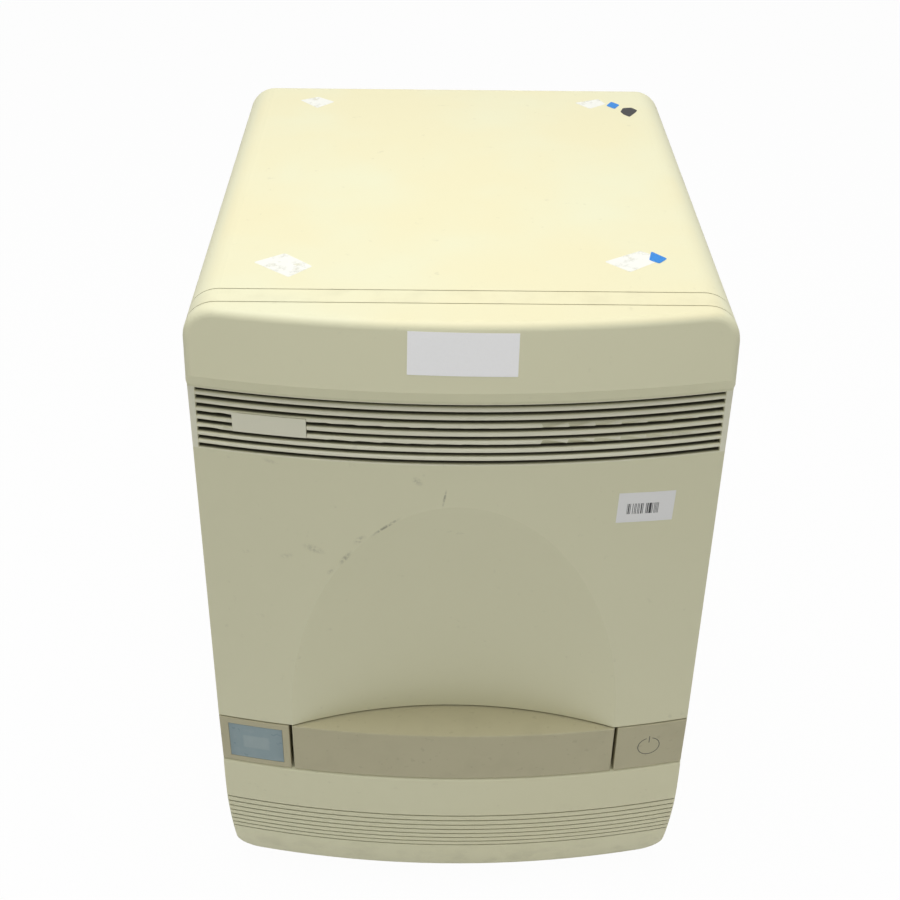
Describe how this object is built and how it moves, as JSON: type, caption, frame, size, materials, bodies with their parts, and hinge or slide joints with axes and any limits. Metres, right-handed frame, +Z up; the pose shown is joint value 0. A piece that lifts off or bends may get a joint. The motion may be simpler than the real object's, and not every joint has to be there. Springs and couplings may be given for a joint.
{
  "type": "real-time pcr system",
  "caption": "Bench real-time PCR system: pale bowed casing with louvred access door and hand scoop, sliding sample tray, power button, thermal block, heated cover and optics inside.",
  "frame": {"origin": "middle of the footprint, on the bench under the feet", "axes": "+X right as seen from the front, +Y towards the back, +Z up; the bowed front with the door and tray faces -Y"},
  "size_m": [0.34, 0.45, 0.49],
  "materials": {
    "shell": "fine texture, slightly yellowed",
    "row_grey": "fine texture",
    "window_film": "glossy",
    "galvanised_steel": "zinc coated",
    "bright_steel": "ground",
    "cast_aluminium": "fine blasted",
    "bright_aluminium": "machined",
    "dark_aluminium": "dark anodised",
    "black_metal": "matte black",
    "black_plastic": "matte",
    "foot_rubber": "matte",
    "white_ceramic": "ceramic",
    "circuit_board": "satin",
    "clear_glass": "polished",
    "filter_glass": "coated"
  },
  "bodies": {
    "casing": {"base_pan": "galvanised_steel", "beam_splitter": "clear_glass", "block_fan_frame": "black_plastic", "block_frame": "galvanised_steel", "camera_body": "black_metal", "camera_lens": "black_metal", "camera_mount": "cast_aluminium", "chassis_left": "galvanised_steel", "chassis_right": "galvanised_steel", "control_board": "circuit_board", "cover_motor": "black_metal", "door_hinge_brackets": "bright_steel", "door_hinge_pins": "bright_steel", "excitation_filter": "filter_glass", "exhaust_fan_frame": "black_plastic", "fan_cowl": "shell", "feet": "foot_rubber", "field_lens": "clear_glass", "filter_wheel_motor": "black_metal", "front_frame": "shell", "fuse_holders": "black_plastic", "guide_rods": "bright_steel", "halogen_lamp": "clear_glass", "heat_sink": "cast_aluminium", "lamp_housing": "cast_aluminium", "latch_pin": "bright_steel", "lower_bezel": "shell", "main_cover": "shell", "mains_inlet": "black_plastic", "optics_tower": "black_metal", "peltier_modules": "white_ceramic", "power_supply": "galvanised_steel", "power_switch": "black_plastic", "rear_panel": "galvanised_steel", "sample_block": "bright_aluminium", "slide_rails_outer": "galvanised_steel", "status_board": "circuit_board", "status_panel": "row_grey", "status_window": "window_film", "tray_catch": "black_plastic", "upper_deck": "galvanised_steel", "usb_port": "bright_steel"},
    "door": {"access_door": "shell", "door_liner": "galvanised_steel", "nameplate_blank": "shell"},
    "latch": {"door_latch": "bright_steel"},
    "tray": {"tray_front": "row_grey", "tray_carriage": "dark_aluminium", "plate_holder": "dark_aluminium", "slide_rails_inner": "bright_steel"},
    "power_key": {"power_button": "row_grey", "switch_plunger": "black_plastic"},
    "cover_drive": {"heated_cover": "dark_aluminium", "cover_carrier": "cast_aluminium"},
    "screw": {"lead_screw": "bright_steel"},
    "wheel": {"filter_wheel": "black_metal", "emission_filters": "filter_glass"},
    "block_fan": {"block_fan_rotor": "black_plastic"},
    "exhaust_fan": {"exhaust_fan_rotor": "black_plastic"},
    "lever": {"lamp_lever": "bright_steel"}
  },
  "joints": [
    {"name": "door_swing", "type": "hinge", "parent": "casing", "child": "door", "pos_m": [-0.1672, -0.182, 0.18], "axis": [0, 0, -1], "range_deg": [0, 100]},
    {"name": "latch_turn", "type": "hinge", "parent": "casing", "child": "latch", "pos_m": [0.152, -0.16, 0.3313], "axis": [0, 0, -1], "range_deg": [0, 16]},
    {"name": "tray_slide", "type": "slide", "parent": "casing", "child": "tray", "axis": [0, -1, 0], "range_m": [0, 0.2]},
    {"name": "power_press", "type": "slide", "parent": "casing", "child": "power_key", "axis": [0, 1, 0], "range_m": [0, 0.0025], "stiffness_N_per_m": 800},
    {"name": "cover_press", "type": "slide", "parent": "casing", "child": "cover_drive", "axis": [0, 0, -1], "range_m": [0, 0.014]},
    {"name": "screw_turn", "type": "hinge", "parent": "casing", "child": "screw", "pos_m": [0, 0.012, 0.18], "axis": [0, 0, 1], "range_deg": [0, 640]},
    {"name": "wheel_turn", "type": "hinge", "parent": "casing", "child": "wheel", "pos_m": [0.044, -0.07, 0.4], "axis": [0, 0, 1], "continuous": true},
    {"name": "block_fan_turn", "type": "hinge", "parent": "casing", "child": "block_fan", "pos_m": [0, 0, 0.056], "axis": [0, 1, 0], "continuous": true},
    {"name": "exhaust_fan_turn", "type": "hinge", "parent": "casing", "child": "exhaust_fan", "pos_m": [0, 0.19, 0.35], "axis": [0, 1, 0], "continuous": true},
    {"name": "lever_turn", "type": "hinge", "parent": "casing", "child": "lever", "pos_m": [0.0365, -0.143, 0.352], "axis": [-1, 0, 0], "range_deg": [0, 30]}
  ],
  "couplings": [
    {"joint": "screw_turn", "follows": "cover_press", "rad_per_m": 785.4}
  ]
}
